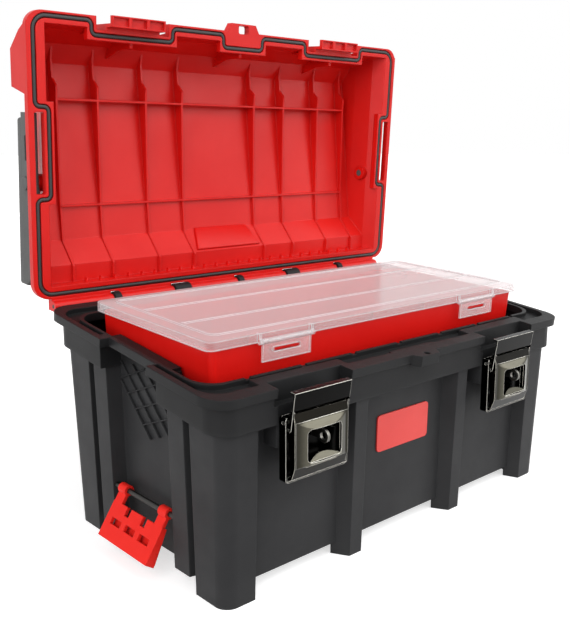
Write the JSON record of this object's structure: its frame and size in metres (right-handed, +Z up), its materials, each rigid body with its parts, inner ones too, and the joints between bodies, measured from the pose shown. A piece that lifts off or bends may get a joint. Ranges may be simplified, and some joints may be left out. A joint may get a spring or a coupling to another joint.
{
  "type": "portable tool case",
  "caption": "Portable plastic tool case with an inclined rim, hinged wedge lid with carry handle, over-centre latches, stacking clips and a lift-out organiser with a clear cover.",
  "frame": {"origin": "on the floor under the middle of the base rim, lid open as in the picture", "axes": "X along the case, -Y the front with the latches, Z up"},
  "size_m": [0.5, 0.3393, 0.4987],
  "materials": {
    "grey_plastic": "fine moulded grain",
    "red_plastic": "fine moulded grain",
    "tray_plastic": "smooth moulded",
    "seal_rubber": "smooth extruded cord",
    "latch_chrome": "dark bright plating",
    "pin_steel": "drawn wire",
    "clear_plastic": "clear moulded plastic",
    "badge_plastic": "plain gloss"
  },
  "bodies": {
    "base": {"base_tub": "grey_plastic", "hinge_pins": "pin_steel", "left_latch_plate": "latch_chrome", "right_latch_plate": "latch_chrome", "left_staple": "pin_steel", "right_staple": "pin_steel", "left_lever_pin": "pin_steel", "right_lever_pin": "pin_steel", "latch_rivets": "pin_steel", "left_clip_pin": "pin_steel", "right_clip_pin": "pin_steel", "front_badge": "badge_plastic"},
    "lid": {"lid_shell": "red_plastic", "lid_seal": "seal_rubber", "handle_pivots": "grey_plastic"},
    "handle": {"carry_handle": "grey_plastic"},
    "organiser": {"organiser_tray": "tray_plastic", "organiser_dividers": "tray_plastic", "organiser_hinge_pins": "pin_steel"},
    "organiser_cover": {"organiser_lid": "clear_plastic"},
    "left_lever": {"left_latch_lever": "latch_chrome", "left_hook_pin": "pin_steel"},
    "left_hook": {"left_latch_hook": "latch_chrome"},
    "left_clip": {"left_stack_clip": "red_plastic"},
    "left_tab": {"left_organiser_tab": "clear_plastic"},
    "right_lever": {"right_latch_lever": "latch_chrome", "right_hook_pin": "pin_steel"},
    "right_hook": {"right_latch_hook": "latch_chrome"},
    "right_clip": {"right_stack_clip": "red_plastic"},
    "right_tab": {"right_organiser_tab": "clear_plastic"}
  },
  "joints": [
    {"name": "lid_hinge", "type": "hinge", "parent": "base", "child": "lid", "pos_m": [0, 0.1404, 0.215], "axis": [-1, 0, 0], "range_deg": [-93.8, 0]},
    {"name": "handle_hinge", "type": "hinge", "parent": "lid", "child": "handle", "pos_m": [0, 0.15809, 0.33438], "axis": [1, 0, 0], "range_deg": [0, 90]},
    {"name": "left_lever_hinge", "type": "hinge", "parent": "base", "child": "left_lever", "pos_m": [-0.138, -0.132, 0.152], "axis": [-1, 0, 0], "range_deg": [-6, 40]},
    {"name": "left_hook_swing", "type": "hinge", "parent": "left_lever", "child": "left_hook", "pos_m": [-0.138, -0.134, 0.146], "axis": [-1, 0, 0], "range_deg": [-101, 16]},
    {"name": "left_clip_hinge", "type": "hinge", "parent": "base", "child": "left_clip", "pos_m": [-0.222, 0, 0.057], "axis": [0, 1, 0], "range_deg": [-33, 40]},
    {"name": "right_lever_hinge", "type": "hinge", "parent": "base", "child": "right_lever", "pos_m": [0.138, -0.132, 0.152], "axis": [-1, 0, 0], "range_deg": [-6, 40]},
    {"name": "right_hook_swing", "type": "hinge", "parent": "right_lever", "child": "right_hook", "pos_m": [0.138, -0.134, 0.146], "axis": [-1, 0, 0], "range_deg": [-101, 16]},
    {"name": "right_clip_hinge", "type": "hinge", "parent": "base", "child": "right_clip", "pos_m": [0.222, 0, 0.057], "axis": [0, -1, 0], "range_deg": [-33, 40]},
    {"name": "organiser_lift", "type": "slide", "parent": "base", "child": "organiser", "axis": [0, 0, 1], "range_m": [0, 0.3]},
    {"name": "organiser_cover_hinge", "type": "hinge", "parent": "organiser", "child": "organiser_cover", "pos_m": [0, 0.09155, 0.21867], "axis": [-1, 0, 0], "range_deg": [0, 95]},
    {"name": "left_tab_hinge", "type": "hinge", "parent": "organiser_cover", "child": "left_tab", "pos_m": [-0.135, -0.09377, 0.21037], "axis": [-1, 0, 0], "range_deg": [0, 100]},
    {"name": "right_tab_hinge", "type": "hinge", "parent": "organiser_cover", "child": "right_tab", "pos_m": [0.135, -0.09377, 0.21037], "axis": [-1, 0, 0], "range_deg": [0, 100]}
  ],
  "couplings": [
    {"joint": "left_hook_swing", "follows": "left_lever_hinge", "ratio": -2.5},
    {"joint": "right_hook_swing", "follows": "right_lever_hinge", "ratio": -2.5}
  ]
}
